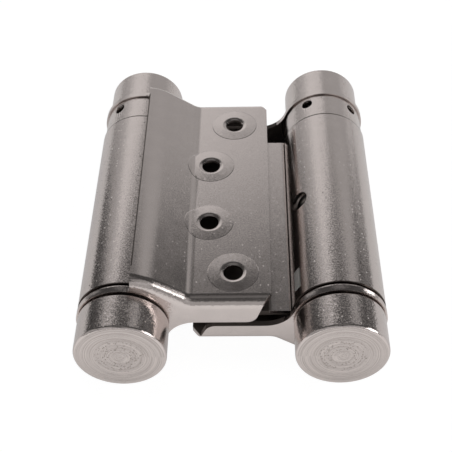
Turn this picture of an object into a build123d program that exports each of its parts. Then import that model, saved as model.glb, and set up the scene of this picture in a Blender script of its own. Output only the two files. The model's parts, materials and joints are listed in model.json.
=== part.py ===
# Double action spring hinge for a cafe door, closed and lying with its door side up.
# Two barrels run along Y. The centre leaf joins them, and each barrel carries one folded leaf.
# The front leaf turns on the left barrel. The back leaf turns on the right one: it is the same folding
# turned half a turn about Y, with narrower lugs.
import os
from math import asin, atan, cos, degrees, radians, sin, sqrt, tan

from build123d import *

os.makedirs("parts", exist_ok=True)

# Sheet metal and layout
SHEET = 1.2
BARREL_SPACING = 40.8
BARREL_RADIUS = 8.9
TUBE_LENGTH = 48.95
CREST_HEIGHT = 11.4

# Folded leaf, in section, measured from the axis of its own barrel
EDGE_X = 2.1
CREST_END_X = 3.8
SLOPE_FOOT_X = 12.5
PLATE_END_X = 27.97
PLATE_HEIGHT = 5.45
CREST_BEND = 11.0
FOOT_BEND = 3.0
END_BEND = 1.7

# Lugs at the two ends of a leaf
EYE_STAND_OUT = 0.05
LUG_END_X = 26.3
LUG_TOE_X = 24.8
LUG_TOE_RADIUS = 2.2
LUG_THROAT_RADIUS = 5.8
LUG_NECK_RADIUS = 0.8
CORNER_LENGTH = 2.4
FRONT_LUG_EDGE = -0.1
BACK_LUG_EDGE = 1.24

# Screw holes, each in a dimple pressed outwards
SCREW_HOLE_RADIUS = 1.9
OUTER_SCREW_X = 20.8
OUTER_SCREW_SPACING = 43.88
INNER_SCREW_X = 15.92
INNER_SCREW_SPACING = 16.9
DIMPLE_RADIUS = 4.85
DIMPLE_HEIGHT = 0.15
DIMPLE_SLOPE = 68
BREAK_RADIUS = 2.6
BREAK_DEPTH = 0.25
COUNTERSINK_RADIUS = 2.5
COUNTERSINK_SLOPE = 45

# Centre leaf: where its web bends into a tube, and the openings in each tube
WEB_BEND = 1.5
SEAM_GAP_ANGLE = 5.5
TUBE_HOLE_RADIUS = 2.15
TUBE_HOLE_ANGLE = 130
TUBE_HOLE_FROM_END = 24.6
SLOT_ANGLE = 118
SLOT_LENGTH = 5.0
SLOT_WIDTH = 2.3
SLOT_FROM_END = 2.25

# Spindle and the pieces on it
SPINDLE_RADIUS = 3.0
NEAR_CAP_STEP = 0.25
NEAR_CAP_LENGTH = 7.7
FAR_CAP_STEP = 0.7
FAR_CAP_LENGTH = 8.6
CAP_FLOOR = 1.6
CAP_CHAMFER = 0.35
WASHER_STEP = 0.3
WASHER_THICKNESS = 0.7
FAR_WASHER_WALL = 2.5
PLUG_FLANGE = 2.3
PLUG_HUB_LENGTH = 4.2

# Tension collar
COLLAR_STEP = 0.33
COLLAR_LENGTH = 6.35
SPIGOT_LENGTH = 3.5
TENSION_HOLES = 5
TENSION_HOLE_RADIUS = 1.22
TENSION_HOLE_DEPTH = 3.0
TENSION_HOLE_FROM_END = 2.05
LEFT_COLLAR_TURN = -35.6
RIGHT_COLLAR_TURN = 153.4

# Torsion spring of flat wire
WIRE_WIDTH = 4.4
WIRE_THICKNESS = 1.8
SPRING_TURNS = 6
RAMP_ANGLE = 30
TANG_STAND_OUT = 0.1
FAR_TANG_LENGTH = 2.4

# Clearances
CAP_GAP = 0.4
LUG_WASHER_GAP = 0.1
WASHER_TUBE_GAP = 0.15
TUBE_COLLAR_GAP = 0.5
COLLAR_LUG_GAP = 0.15
SPINDLE_FIT = 0.03
SPINDLE_END_GAP = 0.1
BUSH_FIT = 0.06
COLLAR_FIT = 0.1
PLUG_FIT = 0.04
SPIGOT_FIT = 0.1
SPRING_TUBE_GAP = 0.4
SPRING_HUB_GAP = 0.2
SPRING_END_GAP = 0.25
FAR_TANG_GAP = 0.3

# The leaf's free edge is its highest line: the bend of the crest starts to fall before it
CREST_ANGLE = atan((CREST_HEIGHT - PLATE_HEIGHT) / (SLOPE_FOOT_X - CREST_END_X))
CREST_BEND_X = CREST_END_X - CREST_BEND * tan(CREST_ANGLE / 2)
EDGE_FALL = CREST_BEND - sqrt(CREST_BEND**2 - max(EDGE_X - CREST_BEND_X, 0) ** 2)
AXIS_Z = CREST_HEIGHT - EDGE_FALL

# Places along the barrels, from the near cap to the far one
OVERALL_LENGTH = (
    NEAR_CAP_LENGTH + CAP_GAP + SHEET + LUG_WASHER_GAP + WASHER_THICKNESS + WASHER_TUBE_GAP
    + TUBE_LENGTH + TUBE_COLLAR_GAP + COLLAR_LENGTH + COLLAR_LUG_GAP + SHEET + CAP_GAP + FAR_CAP_LENGTH
)
NEAR_FACE_Y = -OVERALL_LENGTH / 2
NEAR_LUG_Y = NEAR_FACE_Y + NEAR_CAP_LENGTH + CAP_GAP
NEAR_WASHER_Y = NEAR_LUG_Y + SHEET + LUG_WASHER_GAP
TUBE_Y = NEAR_WASHER_Y + WASHER_THICKNESS + WASHER_TUBE_GAP
TUBE_FAR_Y = TUBE_Y + TUBE_LENGTH
COLLAR_Y = TUBE_FAR_Y + TUBE_COLLAR_GAP
COLLAR_FAR_Y = COLLAR_Y + COLLAR_LENGTH
FAR_LUG_Y = COLLAR_FAR_Y + COLLAR_LUG_GAP
LEAF_FAR_Y = FAR_LUG_Y + SHEET
FAR_CAP_Y = LEAF_FAR_Y + CAP_GAP
FAR_FACE_Y = FAR_CAP_Y + FAR_CAP_LENGTH
LEAF_LENGTH = LEAF_FAR_Y - NEAR_LUG_Y
LEAF_MID_Y = (LEAF_FAR_Y + NEAR_LUG_Y) / 2

# Radii that follow from the walls and clearances
TUBE_BORE = BARREL_RADIUS - SHEET
EYE_RADIUS = BARREL_RADIUS + EYE_STAND_OUT
NEAR_CAP_RADIUS = BARREL_RADIUS - NEAR_CAP_STEP
FAR_CAP_RADIUS = BARREL_RADIUS - FAR_CAP_STEP
WASHER_RADIUS = BARREL_RADIUS - WASHER_STEP
COLLAR_RADIUS = BARREL_RADIUS - COLLAR_STEP
FAR_WASHER_RADIUS = SPINDLE_RADIUS + FAR_WASHER_WALL
SPRING_RADIUS = TUBE_BORE - SPRING_TUBE_GAP - WIRE_THICKNESS / 2
PLUG_HUB_RADIUS = SPRING_RADIUS - WIRE_THICKNESS / 2 - SPRING_HUB_GAP
TANG_SLOT_RADIUS = SPRING_RADIUS - WIRE_THICKNESS / 2 - FAR_TANG_GAP
FAR_WASHER_FAR_Y = COLLAR_FAR_Y + COLLAR_LUG_GAP / 2
FAR_WASHER_Y = FAR_WASHER_FAR_Y - WASHER_THICKNESS
SPINDLE_Y = NEAR_FACE_Y + CAP_FLOOR + SPINDLE_END_GAP
SPINDLE_FAR_Y = FAR_FACE_Y - CAP_FLOOR - SPINDLE_END_GAP

# The first turn of the spring lies on the plug, level with the slot in the tube
SPRING_Y = TUBE_Y + SLOT_FROM_END + SLOT_LENGTH / 2
SPIGOT_Y = TUBE_FAR_Y - SPIGOT_LENGTH
SPRING_FAR_Y = SPIGOT_Y - SPRING_END_GAP - WIRE_WIDTH / 2
FAR_TANG_ANGLE = SLOT_ANGLE - RAMP_ANGLE


# A plane across the barrel of one side, with the barrel's axis at its origin.
# Its x points to the other barrel, and its y away from the web on that side.
def section_plane(side, y):
    return Plane(origin=(-side * BARREL_SPACING / 2, y, AXIS_Z), x_dir=(side, 0, 0), z_dir=(0, -1, 0))


# A plane parallel to the web, at a height over the barrel's axis.
def flat_plane(side, height, y=0.0):
    return Plane(
        origin=(-side * BARREL_SPACING / 2, y, AXIS_Z + side * height), x_dir=(side, 0, 0), z_dir=(0, 0, side)
    )


# A plane that faces outwards from the barrel's axis. Its angle is measured at the barrel,
# from the side that its leaf covers, towards the web.
def radial_plane(side, y, angle, radius):
    out = Vector(side * sin(radians(angle)), 0, side * cos(radians(angle)))
    origin = Vector(-side * BARREL_SPACING / 2, y, AXIS_Z) + out * radius
    return Plane(origin=origin, x_dir=(0, 1, 0), z_dir=out)


# A plane through the barrel's axis that cuts the spring's wire, at an angle measured as above.
def wire_plane(side, y, angle):
    out = radial_plane(side, y, angle, SPRING_RADIUS)
    return Plane(origin=out.origin, x_dir=out.z_dir, z_dir=out.z_dir.cross(Vector(0, 1, 0)))


def barrel_axis(side):
    return Axis((-side * BARREL_SPACING / 2, 0, AXIS_Z), (0, 1, 0))


# A turned piece: its outline is a list of (radius, y) points.
def turned(side, outline):
    with BuildPart() as piece:
        with BuildSketch(flat_plane(side, 0)):
            with BuildLine():
                Polyline(*outline, close=True)
            make_face()
        revolve(axis=barrel_axis(side))
    return piece.part


def save(part, name):
    part.label = name
    export_step(part, f"parts/{name}.step")


# The corner of a sketch that lies nearest to a point of it.
def sketch_corner(sketch, x, y):
    return sketch.vertices().sort_by_distance((x, y, 0))[0]


# The edges that cross a leaf at the given places along Y, and lie no lower than the plate.
def bend_edges(leaf, side, height, places):
    def is_bend(edge):
        ends = edge.vertices()
        across = any(all(abs(end.Y - place) < SHEET / 100 for end in ends) for place in places)
        return across and all(side * (end.Z - AXIS_Z) > height - SHEET / 100 for end in ends)

    return leaf.edges().filter_by(is_bend)


# Folded leaf: the blank under its outer surface is rounded at both ends, hollowed to one sheet,
# trimmed to the outline of its lugs, and pierced.
def folded_leaf(side, lug_edge):
    reach = CREST_HEIGHT + SHEET
    margin = 2 * SHEET
    screws = [(OUTER_SCREW_X, sign * OUTER_SCREW_SPACING / 2) for sign in (-1, 1)]
    screws += [(INNER_SCREW_X, sign * INNER_SCREW_SPACING / 2) for sign in (-1, 1)]

    with BuildPart() as leaf:
        with BuildSketch(section_plane(side, LEAF_FAR_Y)) as blank:
            with BuildLine():
                Polyline(
                    (-reach, CREST_HEIGHT),
                    (CREST_END_X, CREST_HEIGHT),
                    (SLOPE_FOOT_X, PLATE_HEIGHT),
                    (PLATE_END_X + margin, PLATE_HEIGHT),
                    (PLATE_END_X + margin, -reach),
                    (-reach, -reach),
                    close=True,
                )
            make_face()
            fillet(sketch_corner(blank, CREST_END_X, CREST_HEIGHT), CREST_BEND)
            fillet(sketch_corner(blank, SLOPE_FOOT_X, PLATE_HEIGHT), FOOT_BEND)
        extrude(amount=LEAF_LENGTH)
        fillet(bend_edges(leaf, side, PLATE_HEIGHT, (NEAR_LUG_Y, LEAF_FAR_Y)), END_BEND)

        with BuildSketch(section_plane(side, FAR_LUG_Y)) as hollow:
            add(blank.sketch_local)
            offset(amount=-SHEET, mode=Mode.REPLACE)
        extrude(amount=LEAF_LENGTH - 2 * SHEET, mode=Mode.SUBTRACT)

        with BuildSketch(section_plane(side, LEAF_FAR_Y)) as outline:
            with BuildLine():
                Polyline(
                    (EDGE_X, reach),
                    (PLATE_END_X, reach),
                    (PLATE_END_X, PLATE_HEIGHT - SHEET),
                    (LUG_END_X, PLATE_HEIGHT - SHEET),
                    (LUG_TOE_X, lug_edge),
                    (EDGE_X, lug_edge),
                    close=True,
                )
            make_face()
            Circle(EYE_RADIUS)
            fillet(sketch_corner(outline, LUG_TOE_X, lug_edge), LUG_TOE_RADIUS)
            fillet(sketch_corner(outline, sqrt(EYE_RADIUS**2 - lug_edge**2), lug_edge), LUG_THROAT_RADIUS)
            fillet(sketch_corner(outline, EDGE_X, sqrt(EYE_RADIUS**2 - EDGE_X**2)), LUG_NECK_RADIUS)
            Circle(SPINDLE_RADIUS + SPINDLE_FIT, mode=Mode.SUBTRACT)
        extrude(amount=LEAF_LENGTH, mode=Mode.INTERSECT)

        with BuildSketch(flat_plane(side, PLATE_HEIGHT, LEAF_MID_Y)):
            for sign in (-1, 1):
                with BuildLine():
                    Polyline(
                        (PLATE_END_X, sign * (LEAF_LENGTH / 2 - CORNER_LENGTH)),
                        (LUG_END_X, sign * LEAF_LENGTH / 2),
                        (PLATE_END_X + margin, sign * LEAF_LENGTH / 2),
                        close=True,
                    )
                make_face()
        extrude(amount=CREST_HEIGHT + PLATE_HEIGHT, both=True, mode=Mode.SUBTRACT)

        with BuildSketch(flat_plane(side, PLATE_HEIGHT, LEAF_MID_Y)):
            with Locations(*screws):
                Circle(DIMPLE_RADIUS)
        extrude(amount=DIMPLE_HEIGHT, taper=DIMPLE_SLOPE)
        with BuildSketch(flat_plane(side, PLATE_HEIGHT, LEAF_MID_Y)):
            with Locations(*screws):
                Circle(SCREW_HOLE_RADIUS)
        extrude(amount=2 * SHEET, both=True, mode=Mode.SUBTRACT)
        with BuildSketch(flat_plane(side, PLATE_HEIGHT + DIMPLE_HEIGHT, LEAF_MID_Y)):
            with Locations(*screws):
                Circle(BREAK_RADIUS)
        break_taper = degrees(atan((BREAK_RADIUS - SCREW_HOLE_RADIUS) / BREAK_DEPTH))
        extrude(amount=-BREAK_DEPTH, taper=break_taper, mode=Mode.SUBTRACT)
        with BuildSketch(flat_plane(side, PLATE_HEIGHT - SHEET, LEAF_MID_Y)):
            with Locations(*screws):
                Circle(COUNTERSINK_RADIUS)
        extrude(amount=COUNTERSINK_RADIUS - SCREW_HOLE_RADIUS, taper=COUNTERSINK_SLOPE, mode=Mode.SUBTRACT)
    return leaf.part


# Centre leaf: one sheet, rolled into a tube at each end of its web.
# Each bend of the web meets the middle of a tube's wall where both run the same way.
def tube_and_half_web(side):
    wall = BARREL_RADIUS - SHEET / 2
    bend_start_x = sqrt((wall + WEB_BEND) ** 2 - WEB_BEND**2)
    meeting = asin(WEB_BEND / (wall + WEB_BEND))
    turn = degrees(meeting)
    touch = (wall * cos(meeting), wall * sin(meeting))
    seam_turn = 360 - turn - SEAM_GAP_ANGLE
    with BuildPart() as half:
        with BuildSketch(section_plane(side, TUBE_FAR_Y)):
            with BuildLine() as middle:
                Line((BARREL_SPACING / 2, 0), (bend_start_x, 0))
                CenterArc((bend_start_x, WEB_BEND), WEB_BEND, 270, turn - 90)
                CenterArc((0, 0), wall, turn, seam_turn)
            trace(middle.line, SHEET)
        extrude(amount=TUBE_LENGTH)
    return half.part


def centre_leaf():
    with BuildPart() as sheet:
        for side in (1, -1):
            add(tube_and_half_web(side))
        for side in (1, -1):
            hole_y = TUBE_Y + TUBE_HOLE_FROM_END
            with BuildSketch(radial_plane(side, hole_y, TUBE_HOLE_ANGLE, TUBE_BORE - SHEET / 2)):
                Circle(TUBE_HOLE_RADIUS)
            extrude(amount=2 * SHEET, mode=Mode.SUBTRACT)
            with BuildSketch(radial_plane(side, SPRING_Y, SLOT_ANGLE, TUBE_BORE - SHEET / 2)):
                Rectangle(SLOT_LENGTH, SLOT_WIDTH)
            extrude(amount=2 * SHEET, mode=Mode.SUBTRACT)
    return sheet.part


# A cap is turned from bar and bored from behind for the end of the spindle.
def cap(side, face_y, back_y, radius):
    inward = 1 if back_y > face_y else -1
    bore = SPINDLE_RADIUS + SPINDLE_FIT
    floor_y = face_y + inward * CAP_FLOOR
    return turned(
        side,
        [
            (0, face_y),
            (radius - CAP_CHAMFER, face_y),
            (radius, face_y + inward * CAP_CHAMFER),
            (radius, back_y),
            (bore, back_y),
            (bore, floor_y),
            (0, floor_y),
        ],
    )


def spindle(side):
    radius = SPINDLE_RADIUS
    return turned(side, [(0, SPINDLE_Y), (radius, SPINDLE_Y), (radius, SPINDLE_FAR_Y), (0, SPINDLE_FAR_Y)])


def washer(side, y, radius):
    bore = SPINDLE_RADIUS + BUSH_FIT
    far_y = y + WASHER_THICKNESS
    return turned(side, [(bore, y), (radius, y), (radius, far_y), (bore, far_y)])


# The plug closes the near end of a tube, carries the spindle, and centres the first turn of the spring.
def spring_plug(side):
    bore = SPINDLE_RADIUS + BUSH_FIT
    flange = TUBE_BORE - PLUG_FIT
    flange_y = TUBE_Y + PLUG_FLANGE
    hub_y = flange_y + PLUG_HUB_LENGTH
    return turned(
        side,
        [
            (bore, TUBE_Y),
            (flange, TUBE_Y),
            (flange, flange_y),
            (PLUG_HUB_RADIUS, flange_y),
            (PLUG_HUB_RADIUS, hub_y),
            (bore, hub_y),
        ],
    )


# The tension collar has a spigot in the tube, a slot in it for the spring's far tang,
# a recess for the far washer, and radial holes for a tommy bar and the tension pin.
def tension_collar(side, turn):
    bore = SPINDLE_RADIUS + COLLAR_FIT
    spigot = TUBE_BORE - SPIGOT_FIT
    recess = FAR_WASHER_RADIUS + COLLAR_FIT
    body = turned(
        side,
        [
            (bore, SPIGOT_Y),
            (spigot, SPIGOT_Y),
            (spigot, COLLAR_Y),
            (COLLAR_RADIUS, COLLAR_Y),
            (COLLAR_RADIUS, COLLAR_FAR_Y),
            (recess, COLLAR_FAR_Y),
            (recess, FAR_WASHER_Y),
            (bore, FAR_WASHER_Y),
        ],
    )
    hole_y = COLLAR_FAR_Y - TENSION_HOLE_FROM_END
    slot_length = FAR_TANG_LENGTH + FAR_TANG_GAP
    with BuildPart() as collar:
        add(body)
        for step in range(TENSION_HOLES):
            angle = turn + step * 360 / TENSION_HOLES
            with BuildSketch(radial_plane(side, hole_y, angle, COLLAR_RADIUS - TENSION_HOLE_DEPTH)):
                Circle(TENSION_HOLE_RADIUS)
            extrude(amount=2 * TENSION_HOLE_DEPTH, mode=Mode.SUBTRACT)
        with BuildSketch(radial_plane(side, SPIGOT_Y + slot_length / 2, FAR_TANG_ANGLE, TANG_SLOT_RADIUS)):
            Rectangle(slot_length, WIRE_THICKNESS + 2 * FAR_TANG_GAP)
        extrude(amount=TUBE_BORE, mode=Mode.SUBTRACT)
    return collar.part


# The spring is wound from flat wire, each turn square to the barrel with a short ramp to the next.
# Its near tang fills the slot in the tube, and its far one runs on into the collar's spigot.
def torsion_spring(side):
    pitch = (SPRING_FAR_Y - SPRING_Y) / (SPRING_TURNS - 1)
    with BuildPart() as spring:
        for turn in range(SPRING_TURNS):
            y = SPRING_Y + turn * pitch
            with BuildSketch(wire_plane(side, y, SLOT_ANGLE)):
                Rectangle(WIRE_THICKNESS, WIRE_WIDTH)
            revolve(axis=barrel_axis(side), revolution_arc=360 - RAMP_ANGLE)
            if turn < SPRING_TURNS - 1:
                for place, angle in ((y, FAR_TANG_ANGLE), (y + pitch, SLOT_ANGLE)):
                    with BuildSketch(wire_plane(side, place, angle)):
                        Rectangle(WIRE_THICKNESS, WIRE_WIDTH)
                loft()
        with BuildSketch(radial_plane(side, SPRING_Y, SLOT_ANGLE, SPRING_RADIUS)):
            Rectangle(WIRE_WIDTH, WIRE_THICKNESS)
        extrude(amount=BARREL_RADIUS + TANG_STAND_OUT - SPRING_RADIUS)
        end = radial_plane(side, SPRING_FAR_Y, FAR_TANG_ANGLE, SPRING_RADIUS)
        with BuildSketch(Plane(origin=end.origin, x_dir=end.z_dir, z_dir=(0, 1, 0))):
            Rectangle(WIRE_THICKNESS, WIRE_THICKNESS)
        extrude(amount=WIRE_WIDTH / 2 + SPRING_END_GAP + FAR_TANG_LENGTH)
    return spring.part


save(centre_leaf(), "centre_leaf")
save(folded_leaf(1, FRONT_LUG_EDGE), "front_leaf")
save(folded_leaf(-1, BACK_LUG_EDGE), "back_leaf")
for barrel, side, collar_turn in (("left", 1, LEFT_COLLAR_TURN), ("right", -1, RIGHT_COLLAR_TURN)):
    save(cap(side, NEAR_FACE_Y, NEAR_FACE_Y + NEAR_CAP_LENGTH, NEAR_CAP_RADIUS), f"{barrel}_near_cap")
    save(cap(side, FAR_FACE_Y, FAR_CAP_Y, FAR_CAP_RADIUS), f"{barrel}_far_cap")
    save(spindle(side), f"{barrel}_spindle")
    save(washer(side, NEAR_WASHER_Y, WASHER_RADIUS), f"{barrel}_near_washer")
    save(washer(side, FAR_WASHER_Y, FAR_WASHER_RADIUS), f"{barrel}_far_washer")
    save(spring_plug(side), f"{barrel}_spring_plug")
    save(tension_collar(side, collar_turn), f"{barrel}_tension_collar")
    save(torsion_spring(side), f"{barrel}_torsion_spring")
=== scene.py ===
# %% [markdown]
# # A double action spring hinge in satin nickel
# The hinge comes in as solids at their real size and place. This script gives the solids soft
# edges and a finish, and adds a camera, a floor and light. All lengths are in metres, and Y runs
# along the two barrels.

import json
from math import radians
from types import SimpleNamespace

import bpy
from mathutils import Matrix, Vector


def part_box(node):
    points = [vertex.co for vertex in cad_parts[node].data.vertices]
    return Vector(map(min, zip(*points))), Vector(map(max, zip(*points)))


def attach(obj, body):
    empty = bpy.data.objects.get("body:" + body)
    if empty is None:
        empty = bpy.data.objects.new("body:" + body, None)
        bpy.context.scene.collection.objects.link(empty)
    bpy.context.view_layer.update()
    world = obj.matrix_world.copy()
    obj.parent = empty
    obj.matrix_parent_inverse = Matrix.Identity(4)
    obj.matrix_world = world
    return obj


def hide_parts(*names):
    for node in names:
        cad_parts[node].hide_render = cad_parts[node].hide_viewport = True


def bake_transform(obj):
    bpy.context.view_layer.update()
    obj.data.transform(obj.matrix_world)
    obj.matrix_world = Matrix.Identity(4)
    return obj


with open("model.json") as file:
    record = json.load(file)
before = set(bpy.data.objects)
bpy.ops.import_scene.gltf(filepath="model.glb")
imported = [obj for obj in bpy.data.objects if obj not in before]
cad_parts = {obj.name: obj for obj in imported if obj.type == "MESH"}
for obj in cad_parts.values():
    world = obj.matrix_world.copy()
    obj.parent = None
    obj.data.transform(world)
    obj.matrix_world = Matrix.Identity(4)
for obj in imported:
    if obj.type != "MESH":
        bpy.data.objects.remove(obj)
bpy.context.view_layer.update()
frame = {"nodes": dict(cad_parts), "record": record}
bpy.ops.object.select_all(action="DESELECT")
BARREL_X = abs(frame["record"]["behaviour"]["joints"][0]["pos_m"][0])
AXIS_Z = frame["record"]["behaviour"]["joints"][0]["pos_m"][2]
print("nodes:", len(frame["nodes"]), "barrels at x =", BARREL_X, "z =", AXIS_Z)


# %% [markdown]
# ## The camera
# The photograph looks down on the near caps from in front. The two barrels clearly lean together,
# so the camera stands close. A longer lens further off would draw them parallel. Its place was
# worked out from the outlines of the caps, the tubes and the leaf.

# %% Camera
CAMERA_PLACE = Vector((0.00416, -0.14470, 0.15259))
CAMERA_TILT = 44.77
CAMERA_TURN = 2.24
CAMERA_ROLL = -2.14
LENS = 76.5
SENSOR_WIDTH = 36
NEAREST_SEEN = 0.005

bpy.ops.object.camera_add()
camera = bpy.context.object
camera.name = "photo_camera"
camera.matrix_world = (
    Matrix.Translation(CAMERA_PLACE)
    @ Matrix.Rotation(radians(CAMERA_TURN), 4, "Z")
    @ Matrix.Rotation(radians(CAMERA_TILT), 4, "X")
    @ Matrix.Rotation(radians(CAMERA_ROLL), 4, "Z")
)
camera.data.lens = LENS
camera.data.sensor_width = SENSOR_WIDTH
camera.data.clip_start = NEAREST_SEEN
bpy.context.scene.camera = camera
print("camera at", tuple(CAMERA_PLACE))


# %% [markdown]
# ## Clean copies
# A solid comes in as loose triangles, and it is never changed itself. To shape one, it is copied,
# its doubles are merged, and the triangles of each flat face are joined. An edge is then a real
# edge that a bevel can find.

# %% Copy a solid
MERGE_WITHIN = 1e-6
FLAT_WITHIN = 0.3


def copy_node(node, ending):
    source = frame["nodes"][node]
    piece = source.copy()
    piece.data = source.data.copy()
    piece.name = f"{node}_{ending}"
    piece.animation_data_clear()
    bpy.context.collection.objects.link(piece)
    bpy.ops.object.select_all(action="DESELECT")
    bpy.context.view_layer.objects.active = piece
    piece.select_set(True)
    bpy.ops.object.mode_set(mode="EDIT")
    bpy.ops.mesh.select_all(action="SELECT")
    bpy.ops.mesh.remove_doubles(threshold=MERGE_WITHIN)
    bpy.ops.mesh.dissolve_limited(angle_limit=radians(FLAT_WITHIN))
    bpy.ops.mesh.select_all(action="DESELECT")
    bpy.ops.object.mode_set(mode="OBJECT")
    return piece


# %% [markdown]
# ## The far lugs
# The far lugs of the two leaves meet behind the last screw hole. Bevels widen the slit between
# them, and the white floor would shine through the hole. So the edge of the back leaf's lug is
# raised by a third of a millimetre. Its corners are picked by a box round that edge.

# %% Close the slit between the lugs
LUG_EDGE = ((-0.0032, 0.0278, 0.0099), (0.0065, 0.0294, 0.0102))
LUG_RISE = 0.00035


def close_lug_slit(piece):
    low, high = LUG_EDGE
    for corner in piece.data.vertices:
        corner.select = all(a < value < b for a, value, b in zip(low, corner.co, high))
    print("corners on the far lug's edge:", sum(corner.select for corner in piece.data.vertices))
    bpy.ops.object.mode_set(mode="EDIT")
    bpy.ops.transform.translate(value=(0, 0, LUG_RISE))
    bpy.ops.object.mode_set(mode="OBJECT")


# %% [markdown]
# ## Soft edges
# No edge of a real pressing or turning is sharp: tumbling and plating round it by a tenth of a
# millimetre, and that thin round catches the light. A trick in the material could fake it. A real
# bevel is better, because it also shows in the model's outline. The caps and washers are turned
# from bar, and their edges are broken a little wider.

# %% Soften every piece that is seen
EDGE_ANGLE = 35
TURNED_EDGE = (0.00022, 4)
SHEET_EDGE = (0.00012, 3)


def soften_edges(node, width, segments):
    piece = copy_node(node, "soft")
    if node == "back_leaf":
        close_lug_slit(piece)
    bevel = piece.modifiers.new("edge", "BEVEL")
    bevel.width = width
    bevel.segments = segments
    bevel.limit_method = "ANGLE"
    bevel.angle_limit = radians(EDGE_ANGLE)
    bevel.use_clamp_overlap = True
    bpy.ops.object.modifier_apply(modifier=bevel.name)
    bpy.ops.object.shade_smooth_by_angle(angle=radians(EDGE_ANGLE))
    weight = piece.modifiers.new("flat", "WEIGHTED_NORMAL")
    weight.keep_sharp = True
    bpy.ops.object.modifier_apply(modifier=weight.name)
    print(piece.name, "faces:", len(piece.data.polygons))
    return piece


BODIES = {"centre_leaf": "centre", "front_leaf": "front", "back_leaf": "back"}
for side, leaf in (("left", "front"), ("right", "back")):
    BODIES[f"{side}_near_cap"] = leaf
    BODIES[f"{side}_far_cap"] = leaf
    BODIES[f"{side}_near_washer"] = leaf
    BODIES[f"{side}_tension_collar"] = f"{side}_collar"

pieces = dict(frame["nodes"])
for node, body in BODIES.items():
    edge = TURNED_EDGE if node.endswith(("cap", "washer")) else SHEET_EDGE
    soft = soften_edges(node, *edge)
    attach(soft, body)
    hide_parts(node)
    pieces[node] = soft


# %% [markdown]
# ## Springs cut into strips
# Each spring hooks into its tube at the near end and into its collar at the far end. When the
# collar is turned to set the tension, the coils have to share the turn between them, and a spring
# that stayed stiff would cut through the collar. Here a copy of each spring is made, and its wire
# is cut into narrow strips across the axis, because a wide flat face can't follow the twist.

# %% Spring copies cut into strips
STRIP = 0.0007

for side, barrel in (("left", -BARREL_X), ("right", BARREL_X)):
    node = f"{side}_torsion_spring"
    near_y, far_y = (corner[1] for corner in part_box(node))
    spring = copy_node(node, "wound")
    spring.parent = None
    bpy.ops.object.mode_set(mode="EDIT")
    for cut in range(1, int((far_y - near_y) / STRIP)):
        bpy.ops.mesh.select_all(action="SELECT")
        bpy.ops.mesh.bisect(plane_co=(0, near_y + cut * STRIP, 0), plane_no=(0, 1, 0))
    bpy.ops.object.mode_set(mode="OBJECT")
    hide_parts(node)
    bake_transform(spring)
    pieces[node] = spring


# %% [markdown]
# ## Small helpers for materials
# A material is a few nodes joined by links. These helpers each add one node, set or link what goes
# in, and hand back what comes out, so that the recipes below read like sums.

# %% Nodes and sums
def add_node(tree, kind, **inputs):
    made = tree.nodes.new(kind)
    for name, value in inputs.items():
        made.inputs[name.replace("_", " ")].default_value = value
    return made


def add_math(tree, operation, *values):
    made = tree.nodes.new("ShaderNodeMath")
    made.operation = operation
    for socket, value in zip(made.inputs, values):
        if isinstance(value, (int, float)):
            socket.default_value = value
        else:
            tree.links.new(value, socket)
    return made.outputs[0]


def add_vector_math(tree, operation, *values):
    made = tree.nodes.new("ShaderNodeVectorMath")
    made.operation = operation
    sockets = [made.inputs[0], made.inputs["Scale"] if operation == "SCALE" else made.inputs[1]]
    for socket, value in zip(sockets, values):
        if isinstance(value, tuple):
            socket.default_value = value
        else:
            tree.links.new(value, socket)
    return made.outputs[0]


# %% [markdown]
# ## Masks
# Most of the recipes need a mask: a value that goes smoothly from 0 to 1 between two limits. The
# limits are a pair, written from the one that gives 0 to the one that gives 1.

# %% Masks and places
def add_fade(tree, value, limits):
    made = tree.nodes.new("ShaderNodeMapRange")
    made.interpolation_type = "SMOOTHSTEP"
    tree.links.new(value, made.inputs["Value"])
    made.inputs["From Min"].default_value, made.inputs["From Max"].default_value = limits
    return made.outputs["Result"]


def pick_value(tree, mask, without, within):
    return add_math(tree, "MULTIPLY_ADD", mask, within - without, without)


def split_vector(tree, vector):
    split = tree.nodes.new("ShaderNodeSeparateXYZ")
    tree.links.new(vector, split.inputs["Vector"])
    return split.outputs


def split_place(tree):
    return split_vector(tree, tree.nodes.new("ShaderNodeTexCoord").outputs["Object"])


def split_facing(tree):
    return split_vector(tree, tree.nodes.new("ShaderNodeNewGeometry").outputs["Normal"])


# %% [markdown]
# ## Node groups
# What more than one material uses is a node group. One helper starts a new group with its named
# inputs and outputs, and the other places a finished group in a material.

# %% Start and place a group
def start_group(name, sockets_in, sockets_out):
    group = bpy.data.node_groups.new(name, "ShaderNodeTree")
    for title, start in sockets_in.items():
        socket = group.interface.new_socket(title, in_out="INPUT", socket_type="NodeSocketFloat")
        socket.default_value = start
    for title in sockets_out:
        kind = "NodeSocketVector" if title == "Normal" else "NodeSocketFloat"
        group.interface.new_socket(title, in_out="OUTPUT", socket_type=kind)
    given = group.nodes.new("NodeGroupInput").outputs
    result = group.nodes.new("NodeGroupOutput").inputs
    print("group:", name, "with inputs", list(sockets_in), "and outputs", list(sockets_out))
    return group, given, result


def place_group(tree, group):
    placed = tree.nodes.new("ShaderNodeGroup")
    placed.node_tree = group
    return placed


# %% [markdown]
# ## Grain
# Plated steel is never quite even. The sheet's own surface shows through as soft clouds, fine
# grain tilts it this way and that, and a few specks flash as they catch the light. A bump would
# draw ripples; tilting the normal by a noise's colour gives round grains. Every metal here needs
# that, each at its own strength, so it is one group. The specks lean towards the bright back wall.

# %% Grain group
PIT_SCALE = 3800.0
SPECK_SCALE = 1250.0
SPECK_CHANCE = (0.66, 0.7)
SPECK_SIZE = (0.27, 0.08)
EVEN = (0.5, 0.5, 0.5)
LEANING_BACK = (0.5, 0.12, 0.5)


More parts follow.
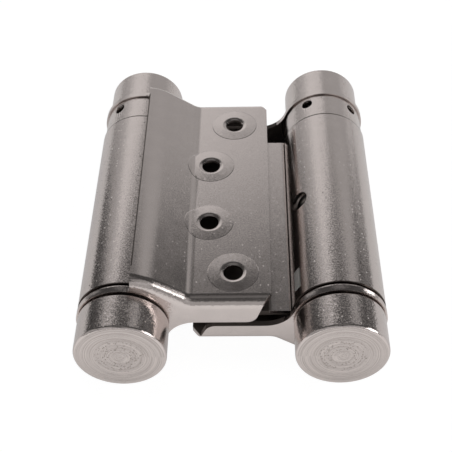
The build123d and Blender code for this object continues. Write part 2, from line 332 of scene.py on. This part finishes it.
def make_grain_group():
    group, given, result = start_group(
        "plated_grain",
        {"Cloud Scale": 300.0, "Grain": 0.3, "Glint": 0.5},
        ("Cloud", "Normal"),
    )
    link = group.links.new
    place = group.nodes.new("ShaderNodeTexCoord").outputs["Object"]
    cloud = add_node(group, "ShaderNodeTexNoise", Detail=4.0, Roughness=0.55)
    pits = add_node(group, "ShaderNodeTexNoise", Detail=1.0, Roughness=0.6, Scale=PIT_SCALE)
    specks = add_node(group, "ShaderNodeTexVoronoi", Scale=SPECK_SCALE)
    for noise in (cloud, pits, specks):
        link(place, noise.inputs["Vector"])
    link(given["Cloud Scale"], cloud.inputs["Scale"])
    link(cloud.outputs["Fac"], result["Cloud"])
    rare = add_fade(group, split_vector(group, specks.outputs["Color"])["X"], SPECK_CHANCE)
    dots = add_fade(group, specks.outputs["Distance"], SPECK_SIZE)
    glint = add_math(group, "MULTIPLY", add_math(group, "MULTIPLY", rare, dots), given["Glint"])
    facing = group.nodes.new("ShaderNodeNewGeometry").outputs["Normal"]
    for texture, amount, rest in ((pits, given["Grain"], EVEN), (specks, glint, LEANING_BACK)):
        tilt = add_vector_math(group, "SUBTRACT", texture.outputs["Color"], rest)
        tilt = add_vector_math(group, "SCALE", tilt, amount)
        facing = add_vector_math(group, "ADD", facing, tilt)
    link(add_vector_math(group, "NORMALIZE", facing), result["Normal"])
    return group


grain_group = make_grain_group()


# %% [markdown]
# ## Turning marks
# The caps, collars and washers were turned, so their end faces carry fine rings round the axis.
# Both barrels share one formula, because the distance to the nearer axis only needs the size of x.
# Round the middle of a cap's face the tool chattered, and left a ring of small pits.

# %% Turning group
RING_DRIFT = 0.25
CHATTER_SCALE = 2000.0
CHATTER_DOT = (0.32, 0.2)
CHATTER_BEGINS = (0.0012, 0.0026)
CHATTER_ENDS = (0.0052, 0.0038)


def add_square(tree, value):
    return add_math(tree, "MULTIPLY", value, value)


def add_length(tree, first, second):
    squares = add_math(tree, "ADD", add_square(tree, first), add_square(tree, second))
    return add_math(tree, "SQRT", squares)


def make_turning_group():
    group, given, result = start_group(
        "turning_marks", {"Ring Scale": 5200.0}, ("Rings", "Chatter", "Radius")
    )
    link = group.links.new
    place = split_place(group)
    across = add_math(group, "SUBTRACT", add_math(group, "ABSOLUTE", place["X"]), BARREL_X)
    up = add_math(group, "SUBTRACT", place["Z"], AXIS_Z)
    radius = add_length(group, across, up)
    angle = add_math(group, "ARCTAN2", up, across)
    rings = add_node(group, "ShaderNodeTexNoise", Detail=3.0, Roughness=0.7, Scale=1.0)
    rings.noise_dimensions = "2D"
    spread = group.nodes.new("ShaderNodeCombineXYZ")
    link(add_math(group, "MULTIPLY", radius, given["Ring Scale"]), spread.inputs["X"])
    link(add_math(group, "MULTIPLY", angle, RING_DRIFT), spread.inputs["Y"])
    link(spread.outputs["Vector"], rings.inputs["Vector"])
    chatter = add_node(group, "ShaderNodeTexVoronoi", Scale=CHATTER_SCALE)
    link(group.nodes.new("ShaderNodeTexCoord").outputs["Object"], chatter.inputs["Vector"])
    dots = add_fade(group, chatter.outputs["Distance"], CHATTER_DOT)
    begins = add_fade(group, radius, CHATTER_BEGINS)
    band = add_math(group, "MULTIPLY", begins, add_fade(group, radius, CHATTER_ENDS))
    link(rings.outputs["Fac"], result["Rings"])
    link(add_math(group, "MULTIPLY", dots, band), result["Chatter"])
    link(radius, result["Radius"])
    return group


turning_group = make_turning_group()


# %% [markdown]
# ## Screw holes
# The back leaf is like the front one turned half round, so the places of the front leaf's holes
# serve both, once x is multiplied by the side of the hinge: 1 above the axes and -1 below. They
# come from the record's bolt patterns, each a middle and a spacing along y.

# %% Places of the screw holes
HOLES = []
for mount in frame["record"]["mounts"][:2]:
    middle_x, middle_y = mount["pos_m"][:2]
    half_spacing = mount["dims"]["spacing_y_mm"] / 1000 / 2
    HOLES += [(middle_x, middle_y - half_spacing), (middle_x, middle_y + half_spacing)]
print("screw holes:", HOLES)


def add_side(tree, place):
    return add_math(tree, "SIGN", add_math(tree, "SUBTRACT", place["Z"], AXIS_Z))


# %% [markdown]
# ## Pressed rings
# The punch that makes each screw hole also lifts a shallow cone round it, with a small step at its
# rim. The lift is a few hundredths of a millimetre, so a bump shows it as well as a mesh could.

# %% Pressed ring group
RIM_STEP = (0.00492, 0.00478)
FURTHEST = 1.0


def make_ring_group():
    group, given, result = start_group(
        "pressed_rings", {"Rim": 0.00485, "Crown": 0.0027}, ("Height",)
    )
    place = split_place(group)
    across = add_math(group, "MULTIPLY", place["X"], add_side(group, place))
    nearest = FURTHEST
    for hole_x, hole_y in HOLES:
        from_hole_x = add_math(group, "SUBTRACT", across, hole_x)
        from_hole_y = add_math(group, "SUBTRACT", place["Y"], hole_y)
        distance = add_length(group, from_hole_x, from_hole_y)
        nearest = add_math(group, "MINIMUM", distance, nearest)
    cone = group.nodes.new("ShaderNodeMapRange")
    group.links.new(nearest, cone.inputs["Value"])
    group.links.new(given["Rim"], cone.inputs["From Min"])
    group.links.new(given["Crown"], cone.inputs["From Max"])
    step = add_fade(group, nearest, RIM_STEP)
    group.links.new(add_math(group, "ADD", cone.outputs["Result"], step), result["Height"])
    return group


ring_group = make_ring_group()


# %% [markdown]
# ## Painted shade in the seams
# Where two turned pieces meet, the joint lies in shade, and a thin dark line of painted shade is
# drawn round the barrel there. A mask by distance from each joint does it for every piece that
# meets there, and both barrels share the joints' places along y.

# %% Seam group
SEAMS = [corner[1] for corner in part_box("centre_leaf")]
SEAM_EDGE = (1.0, 0.4)
print("seams at y:", SEAMS)


def make_seam_group():
    group, given, result = start_group("dark_seams", {"Half Width": 0.00026}, ("Line",))
    place = split_place(group)
    nearest = FURTHEST
    for seam in SEAMS:
        away = add_math(group, "ABSOLUTE", add_math(group, "SUBTRACT", place["Y"], seam))
        nearest = add_math(group, "MINIMUM", away, nearest)
    share = add_math(group, "DIVIDE", nearest, given["Half Width"])
    group.links.new(add_fade(group, share, SEAM_EDGE), result["Line"])
    return group


seam_group = make_seam_group()


# %% [markdown]
# ## Nickel
# Nickel plate is a warm grey metal. Its roughness sets how soft the reflections are, and the grain
# breaks them up. Each finish below starts here and adds what its own piece shows. The clouds make
# the colour and the roughness uneven by a few percent.

# %% Start a metal
NICKEL = (0.655, 0.588, 0.562)
NICKEL_ROUGHNESS = 0.2
CLOUD_TINT = (0.9, 1.08)
CLOUD_ROUGHNESS = (0.8, 1.2)


def scale_colour(colour, factor):
    return (*(min(part * factor, 1) for part in colour), 1)


def start_metal(name, colour, roughness, grain_size, glint):
    material = bpy.data.materials.new(name)
    material.use_nodes = True
    tree = material.node_tree
    shader = tree.nodes["Principled BSDF"]
    shader.inputs["Metallic"].default_value = 1.0
    grain = place_group(tree, grain_group)
    grain.inputs["Grain"].default_value = grain_size
    grain.inputs["Glint"].default_value = glint
    tint = tree.nodes.new("ShaderNodeMix")
    tint.data_type = "RGBA"
    tint.inputs[6].default_value = scale_colour(colour, CLOUD_TINT[0])
    tint.inputs[7].default_value = scale_colour(colour, CLOUD_TINT[1])
    tree.links.new(grain.outputs["Cloud"], tint.inputs[0])
    tree.links.new(tint.outputs[2], shader.inputs["Base Color"])
    rough = tree.nodes.new("ShaderNodeMapRange")
    rough.inputs["To Min"].default_value = roughness * CLOUD_ROUGHNESS[0]
    rough.inputs["To Max"].default_value = roughness * CLOUD_ROUGHNESS[1]
    tree.links.new(grain.outputs["Cloud"], rough.inputs["Value"])
    tree.links.new(rough.outputs["Result"], shader.inputs["Roughness"])
    tree.links.new(grain.outputs["Normal"], shader.inputs["Normal"])
    print("metal:", name)
    return SimpleNamespace(
        material=material,
        tree=tree,
        shader=shader,
        grain=grain,
        colour=tint.outputs[2],
        roughness=rough.outputs["Result"],
    )


# %% [markdown]
# ## Painted shade and dull places
# Joints, the faces between the leaves and the walls of the collars' holes lie in shade, and that
# shade is painted into the colour: the metal's own colour multiplied by a dark shade, as far as a
# mask says. Faces that no polish reaches are also dull.

# %% Darken and dull
PAINTED_INSIDE_SHADE = (0.3, 0.285, 0.272)
PAINTED_JOINT_SHADE = (0.22, 0.21, 0.2)


def add_darkening(tree, colour, mask, shade):
    darken = tree.nodes.new("ShaderNodeMix")
    darken.data_type = "RGBA"
    darken.blend_type = "MULTIPLY"
    darken.inputs[7].default_value = (*shade, 1)
    tree.links.new(mask, darken.inputs[0])
    tree.links.new(colour, darken.inputs[6])
    return darken.outputs[2]


def dull_within(metal, mask, roughness):
    dull = add_math(metal.tree, "MULTIPLY", mask, roughness)
    dull = add_math(metal.tree, "MAXIMUM", metal.roughness, dull)
    metal.tree.links.new(dull, metal.shader.inputs["Roughness"])


# %% [markdown]
# ## Inside of a leaf
# The faces that lie against the web are in shade, and painted shade darkens their colour. No polish
# reaches them, so they are also dull.
# A face is inside where it looks towards the web's plane or, on a lug, towards the middle of the
# hinge. The eyes round the barrels are left out, because they are seen.

# %% Mask for the inside of a leaf
UNPLATED_ROUGHNESS = 0.8
TUBE_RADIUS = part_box("centre_leaf")[1][0] - BARREL_X
EYE_ENDS = (TUBE_RADIUS + 0.0002, TUBE_RADIUS + 0.0008)
FACING_WEB = (-0.2, -0.6)
FACING_MIDDLE = (-0.4, -0.8)
print("tube radius:", TUBE_RADIUS)


def mask_inside_leaf(tree, place, side):
    facing = split_facing(tree)
    under = add_fade(tree, add_math(tree, "MULTIPLY", facing["Z"], side), FACING_WEB)
    end = add_math(tree, "MULTIPLY", facing["Y"], add_math(tree, "SIGN", place["Y"]))
    radius = place_group(tree, turning_group).outputs["Radius"]
    off_eye = add_fade(tree, radius, EYE_ENDS)
    end = add_math(tree, "MULTIPLY", add_fade(tree, end, FACING_MIDDLE), off_eye)
    return add_math(tree, "MAXIMUM", under, end)


# %% [markdown]
# ## The bend and the pressed rings
# On the real leaf the bend at its near end starts a little before the sheet's own corner, and the
# stretched metal there is grainier. One bump eases the bend, and a finer one on top of it draws the
# rings round the screw holes.

# %% Relief of a leaf
LEAF_NEAR_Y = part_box("front_leaf")[0][1]
BEND_RUN = (LEAF_NEAR_Y - 0.0003, LEAF_NEAR_Y + 0.0025)
BEND_DROP = 0.00055
BEND_GRAIN = 0.27
PLATE_GRAIN = 0.07
RING_RISE = 0.00006
print("bend runs along y:", BEND_RUN)


def add_bump(tree, height, distance, normal):
    bump = add_node(tree, "ShaderNodeBump", Strength=1.0, Distance=distance)
    tree.links.new(height, bump.inputs["Height"])
    tree.links.new(normal, bump.inputs["Normal"])
    return bump.outputs["Normal"]


def shape_leaf(metal, place):
    tree = metal.tree
    bend = add_fade(tree, place["Y"], BEND_RUN)
    tree.links.new(pick_value(tree, bend, BEND_GRAIN, PLATE_GRAIN), metal.grain.inputs["Grain"])
    normal = add_bump(tree, bend, BEND_DROP, metal.grain.outputs["Normal"])
    rings = place_group(tree, ring_group).outputs["Height"]
    normal = add_bump(tree, rings, RING_RISE, normal)
    tree.links.new(normal, metal.shader.inputs["Normal"])


# %% [markdown]
# ## The leaves' nickel
# The front and back leaves are the same pressing, so they share one finish. Where a leaf's long
# edge lies on its tube, a thin dark line of painted shade is drawn on the leaf between the two
# eyes.

# %% Leaf nickel
LEAF_EDGE_X = -BARREL_X + 0.0021
EDGE_LINE = (0.0003, 0.0001)
BETWEEN_EYES = (0.026, 0.0255)
SHEET_GRAIN = 0.06
SHEET_GLINT = 0.14


def make_leaf_nickel():
    metal = start_metal("sheet_nickel", NICKEL, NICKEL_ROUGHNESS, SHEET_GRAIN, SHEET_GLINT)
    tree = metal.tree
    place = split_place(tree)
    side = add_side(tree, place)
    inside = mask_inside_leaf(tree, place, side)
    shape_leaf(metal, place)
    across = add_math(tree, "MULTIPLY", place["X"], side)
    beside = add_math(tree, "ABSOLUTE", add_math(tree, "SUBTRACT", across, LEAF_EDGE_X))
    between = add_fade(tree, add_math(tree, "ABSOLUTE", place["Y"]), BETWEEN_EYES)
    line = add_math(tree, "MULTIPLY", add_fade(tree, beside, EDGE_LINE), between)
    # Painted shade darkens the inside faces and draws the line along the leaf's edge.
    colour = add_darkening(tree, metal.colour, inside, PAINTED_INSIDE_SHADE)
    colour = add_darkening(tree, colour, line, PAINTED_JOINT_SHADE)
    tree.links.new(colour, metal.shader.inputs["Base Color"])
    dull_within(metal, inside, UNPLATED_ROUGHNESS)
    return metal.material


leaf_nickel = make_leaf_nickel()


# %% [markdown]
# ## The centre leaf's nickel
# Where a leaf covers the web, it is dull, and painted shade darkens it. The rolled tubes are
# grainier than the flat web, with more specks, and have a thin line of painted shade at each end.

# %% Web nickel
COVERED = (0.0076, 0.007)
IN_WEB = (0.0012, 0.0008)
ON_TUBE = (TUBE_RADIUS + 0.0002, TUBE_RADIUS + 0.0001)
WEB_GRAIN, TUBE_GRAIN = 0.06, 0.19
WEB_GLINT, TUBE_GLINT = 0.3, 0.65


def make_web_nickel():
    metal = start_metal("web_nickel", NICKEL, NICKEL_ROUGHNESS, WEB_GRAIN, WEB_GLINT)
    tree = metal.tree
    place = split_place(tree)
    across = add_math(tree, "MULTIPLY", place["X"], add_side(tree, place))
    from_plane = add_math(tree, "ABSOLUTE", add_math(tree, "SUBTRACT", place["Z"], AXIS_Z))
    in_web = add_fade(tree, from_plane, IN_WEB)
    inside = add_math(tree, "MULTIPLY", add_fade(tree, across, COVERED), in_web)
    on_tube = add_fade(tree, place_group(tree, turning_group).outputs["Radius"], ON_TUBE)
    grain = metal.grain.inputs
    tree.links.new(pick_value(tree, on_tube, WEB_GRAIN, TUBE_GRAIN), grain["Grain"])
    tree.links.new(pick_value(tree, on_tube, WEB_GLINT, TUBE_GLINT), grain["Glint"])
    line = add_math(tree, "MULTIPLY", place_group(tree, seam_group).outputs["Line"], on_tube)
    # Painted shade darkens the covered web and the seams at the tubes' ends.
    colour = add_darkening(tree, metal.colour, inside, PAINTED_INSIDE_SHADE)
    colour = add_darkening(tree, colour, line, PAINTED_JOINT_SHADE)
    tree.links.new(colour, metal.shader.inputs["Base Color"])
    dull_within(metal, inside, UNPLATED_ROUGHNESS)
    return metal.material


web_nickel = make_web_nickel()


# %% [markdown]
# ## Turned nickel
# Caps, near washers and collars are turned from bar and then plated, so their end faces show the
# tool's rings and pits, cut by a bump and darkened a little. The radial holes of a collar are
# darkened with painted shade from a short way in, and each joint gets a thin line of painted shade.

# %% Turned nickel
TURNED_GRAIN = 0.26
TURNED_GLINT = 0.5
END_FACE = (0.9, 0.97)
RING_CONTRAST = (0.25, 0.78)
PIT_DEPTH = 1.4
CUT_DEPTH = 0.00003
CUT_DARKNESS = 0.7
CUT_SHADE = (0.5, 0.49, 0.47)
HOLE_WALL = (0.0083, 0.0079)


def make_turned_nickel(name, has_holes):
    metal = start_metal(name, NICKEL, NICKEL_ROUGHNESS, TURNED_GRAIN, TURNED_GLINT)
    tree = metal.tree
    turning = place_group(tree, turning_group).outputs
    end_face = add_fade(tree, add_math(tree, "ABSOLUTE", split_facing(tree)["Y"]), END_FACE)
    rings = add_fade(tree, turning["Rings"], RING_CONTRAST)
    marks = add_math(tree, "ADD", rings, add_math(tree, "MULTIPLY", turning["Chatter"], PIT_DEPTH))
    cut = add_math(tree, "MULTIPLY", marks, end_face)
    normal = add_bump(tree, cut, CUT_DEPTH, metal.grain.outputs["Normal"])
    tree.links.new(normal, metal.shader.inputs["Normal"])
    shaded = add_math(tree, "MULTIPLY", cut, CUT_DARKNESS)
    colour = add_darkening(tree, metal.colour, shaded, CUT_SHADE)
    # Painted shade darkens the walls of the holes and the seams.
    if has_holes:
        deep = add_fade(tree, turning["Radius"], HOLE_WALL)
        colour = add_darkening(tree, colour, deep, PAINTED_INSIDE_SHADE)
    line = place_group(tree, seam_group).outputs["Line"]
    colour = add_darkening(tree, colour, line, PAINTED_JOINT_SHADE)
    tree.links.new(colour, metal.shader.inputs["Base Color"])
    return metal.material


turned_nickel = make_turned_nickel("turned_nickel", False)
collar_nickel = make_turned_nickel("collar_nickel", True)


# %% [markdown]
# ## Steel inside the barrels
# Spindles, plugs and far washers are plain steel. The springs are black, and only the end of the
# wire that hooks into the barrel's slot is seen. It is ground bright, so the finish changes with
# the distance from the axis.

# %% Plain steel and spring steel
PLAIN_STEEL = (0.45, 0.44, 0.43)
PLAIN_ROUGHNESS = 0.35
BLACK_STEEL = (0.28, 0.27, 0.26)
BLACK_ROUGHNESS = 0.4
GROUND_STEEL = (0.95, 0.93, 0.9)
GROUND_ROUGHNESS = 0.6
GROUND_END = (0.0072, 0.0074)
STEEL_GRAIN = 0.3
STEEL_GLINT = 0.2


def make_spring_steel():
    metal = start_metal(
        "spring_steel", BLACK_STEEL, BLACK_ROUGHNESS, STEEL_GRAIN, STEEL_GLINT
    )
    tree = metal.tree
    radius = place_group(tree, turning_group).outputs["Radius"]
    ground_end = add_fade(tree, radius, GROUND_END)
    bright = tree.nodes.new("ShaderNodeMix")
    bright.data_type = "RGBA"
    bright.inputs[7].default_value = (*GROUND_STEEL, 1)
    tree.links.new(ground_end, bright.inputs[0])
    tree.links.new(metal.colour, bright.inputs[6])
    tree.links.new(bright.outputs[2], metal.shader.inputs["Base Color"])
    dull_within(metal, ground_end, GROUND_ROUGHNESS)
    return metal.material


plain_metal = start_metal("plain_steel", PLAIN_STEEL, PLAIN_ROUGHNESS, STEEL_GRAIN, STEEL_GLINT)
plain_steel = plain_metal.material
spring_steel = make_spring_steel()


# %% [markdown]
# ## Which piece gets which finish
# A piece is named for its barrel and its kind, so the end of its name tells its finish. The first
# ending that fits is taken, and the centre leaf comes before the other two.

# %% Give the finishes
FINISHES = {
    "centre_leaf": web_nickel,
    "leaf": leaf_nickel,
    "cap": turned_nickel,
    "near_washer": turned_nickel,
    "collar": collar_nickel,
    "far_washer": plain_steel,
    "spindle": plain_steel,
    "plug": plain_steel,
    "spring": spring_steel,
}

for node, piece in pieces.items():
    finish = next(FINISHES[ending] for ending in FINISHES if node.endswith(ending))
    piece.material_slots[0].material = finish
    print(piece.name, "is", finish.name)


# %% [markdown]
# ## Floor
# The photograph has a plain white ground. The camera and the metal's reflections see the floor as
# white through Light Path. A share of plain matt paint stays, and keeps the hinge's soft shadow.
# The metal mirrors more of the floor in front of the hinge than of the floor round it.

# %% Floor
FLOOR_SIZE = 4.0
FLOOR_GREY = 0.95
FLOOR_ROUGHNESS = 0.9
GLOW = 1.12
SEEN_GLOW = 0.85
MIRRORED_GLOW = 0.28
FRONT_GLOW = 0.38
IN_FRONT = (-0.03, -0.05)

bpy.ops.mesh.primitive_plane_add(size=FLOOR_SIZE)
floor = bpy.context.object
floor.name = "floor"
paint = bpy.data.materials.new("white_ground")
paint.use_nodes = True
tree = paint.node_tree
matt = tree.nodes["Principled BSDF"]
matt.inputs["Base Color"].default_value = (FLOOR_GREY, FLOOR_GREY, FLOOR_GREY, 1)
matt.inputs["Roughness"].default_value = FLOOR_ROUGHNESS
glow = add_node(tree, "ShaderNodeEmission", Strength=GLOW, Color=(1, 1, 1, 1))
path = tree.nodes.new("ShaderNodeLightPath").outputs
seen = add_math(tree, "MULTIPLY", path["Is Camera Ray"], SEEN_GLOW)
in_front = add_fade(tree, split_place(tree)["Y"], IN_FRONT)
mirrored = add_math(tree, "MULTIPLY_ADD", in_front, FRONT_GLOW, MIRRORED_GLOW)
mirrored = add_math(tree, "MULTIPLY", path["Is Glossy Ray"], mirrored)
share = tree.nodes.new("ShaderNodeMixShader")
tree.links.new(add_math(tree, "ADD", seen, mirrored), share.inputs["Fac"])
tree.links.new(matt.outputs["BSDF"], share.inputs[1])
tree.links.new(glow.outputs["Emission"], share.inputs[2])
tree.links.new(share.outputs["Shader"], tree.nodes["Material Output"].inputs["Surface"])
floor.data.materials.append(paint)
print("floor:", FLOOR_SIZE, "m wide")


# %% [markdown]
# ## Light
# Bare metal shows what is round it, so the surroundings matter more than the lamps. In the
# photograph the wall behind the hinge is bright up to a man's height and dark above, and to the
# left it ends. Each bright wall here is one window in the world between two bearings and two
# heights, all in degrees from the hinge. A bearing of 0 looks away from the camera, along y, and
# 90 looks along x. Slant lifts or drops a window's top with the bearing.

# %% Wall group
FULL_TURN = 360
WINDOW_EDGE = (-0.5, 0.5)


def make_wall_group():
    group, given, result = start_group(
        "bright_wall",
        {
            "Bearing": 0.0,
            "Half Width": 20.0,
            "Side Softness": 10.0,
            "Height": 20.0,
            "Half Height": 20.0,
            "Top Softness": 10.0,
            "Slant": 0.0,
        },
        ("Wall",),
    )
    sky = split_vector(group, group.nodes.new("ShaderNodeTexCoord").outputs["Generated"])
    bearing = add_math(group, "DEGREES", add_math(group, "ARCTAN2", sky["X"], sky["Y"]))
    height = add_math(group, "DEGREES", add_math(group, "ARCSINE", sky["Z"]))
    lift = add_math(group, "MULTIPLY", bearing, given["Slant"])
    height = add_math(group, "ADD", height, lift)
    windows = []
    for value, middle, half, soft in (
        (bearing, given["Bearing"], given["Half Width"], given["Side Softness"]),
        (height, given["Height"], given["Half Height"], given["Top Softness"]),
    ):
        away = add_math(group, "ABSOLUTE", add_math(group, "SUBTRACT", value, middle))
        away = add_math(group, "MINIMUM", away, add_math(group, "SUBTRACT", FULL_TURN, away))
        inside = add_math(group, "DIVIDE", add_math(group, "SUBTRACT", half, away), soft)
        windows.append(add_fade(group, inside, WINDOW_EDGE))
    group.links.new(add_math(group, "MULTIPLY", *windows), result["Wall"])
    return group


wall_group = make_wall_group()


# %% [markdown]
# ## The room
# The room is dim, with nine windows of light. The first four were set by the reflections in the
# photograph, and the others mostly light the sides that it doesn't show. In each row the numbers
# are the group's inputs in their order, and then the window's strength. The camera itself sees
# plain white.

# %% The room's walls
DIM_ROOM = 0.06
WALLS = (
    ("key", -14, 17, 12, 20, 24.5, 11, 0.2, 0.34),
    ("back", -1, 42, 6, 15, 30, 11, 0.0, 0.4),
    ("corner", 42, 6, 4, 4, 12, 4, 0.0, 0.25),
    ("strip", 100, 30, 6, 20, 11, 5, 0.0, 3.2),
    ("front", 180, 38, 14, 17, 17, 10, 0.0, 0.4),
    ("left", -100, 28, 12, 14, 22, 14, 0.0, 0.35),
    ("behind_right", 137, 28, 14, 42, 18, 14, 0.0, 0.3),
    ("behind_left", -137, 28, 14, 42, 18, 14, 0.0, 0.3),
    ("ceiling", 0, 180, 10, 90, 18, 10, 0.0, 0.12),
)

world = bpy.data.worlds.new("bench")
bpy.context.scene.world = world
world.use_nodes = True
tree = world.node_tree
backdrop = tree.nodes["Background"]
backdrop.inputs["Color"].default_value = (1, 1, 1, 1)
level = DIM_ROOM
for title, *window, strength in WALLS:
    wall = place_group(tree, wall_group)
    wall.label = title
    for socket, value in zip(wall.inputs, window):
        socket.default_value = value
    lit = add_math(tree, "MULTIPLY", wall.outputs["Wall"], strength)
    level = add_math(tree, "ADD", level, lit)
path = tree.nodes.new("ShaderNodeLightPath").outputs
level = add_math(tree, "MAXIMUM", level, path["Is Camera Ray"])
tree.links.new(level, backdrop.inputs["Strength"])
print("walls:", [row[0] for row in WALLS])


# %% [markdown]
# ## The lamp
# One soft lamp hangs nearly overhead. It lights the floor and gives the hinge its soft shadow. It
# would show in the bent metal as a hard white bar, so the metal doesn't mirror it.

# %% Overhead lamp
LAMP_HEIGHT = 80
LAMP_DISTANCE = 0.9
LAMP_SIZE = 0.5
LAMP_POWER = 1.2

lamp_place = Matrix.Rotation(radians(LAMP_HEIGHT), 3, "X") @ Vector((0, LAMP_DISTANCE, 0))
bpy.ops.object.light_add(type="AREA", location=lamp_place)
overhead_lamp = bpy.context.object
overhead_lamp.name = "overhead_lamp"
overhead_lamp.data.size = LAMP_SIZE
overhead_lamp.data.energy = LAMP_POWER
overhead_lamp.rotation_euler = (-lamp_place).to_track_quat("-Z", "Y").to_euler()
overhead_lamp.visible_glossy = False
print("lamp at", tuple(lamp_place))


# %% [markdown]
# ## Picture
# Standard shows each colour about as it is written.

# %% Picture and finish
bpy.context.scene.view_settings.view_transform = "Standard"
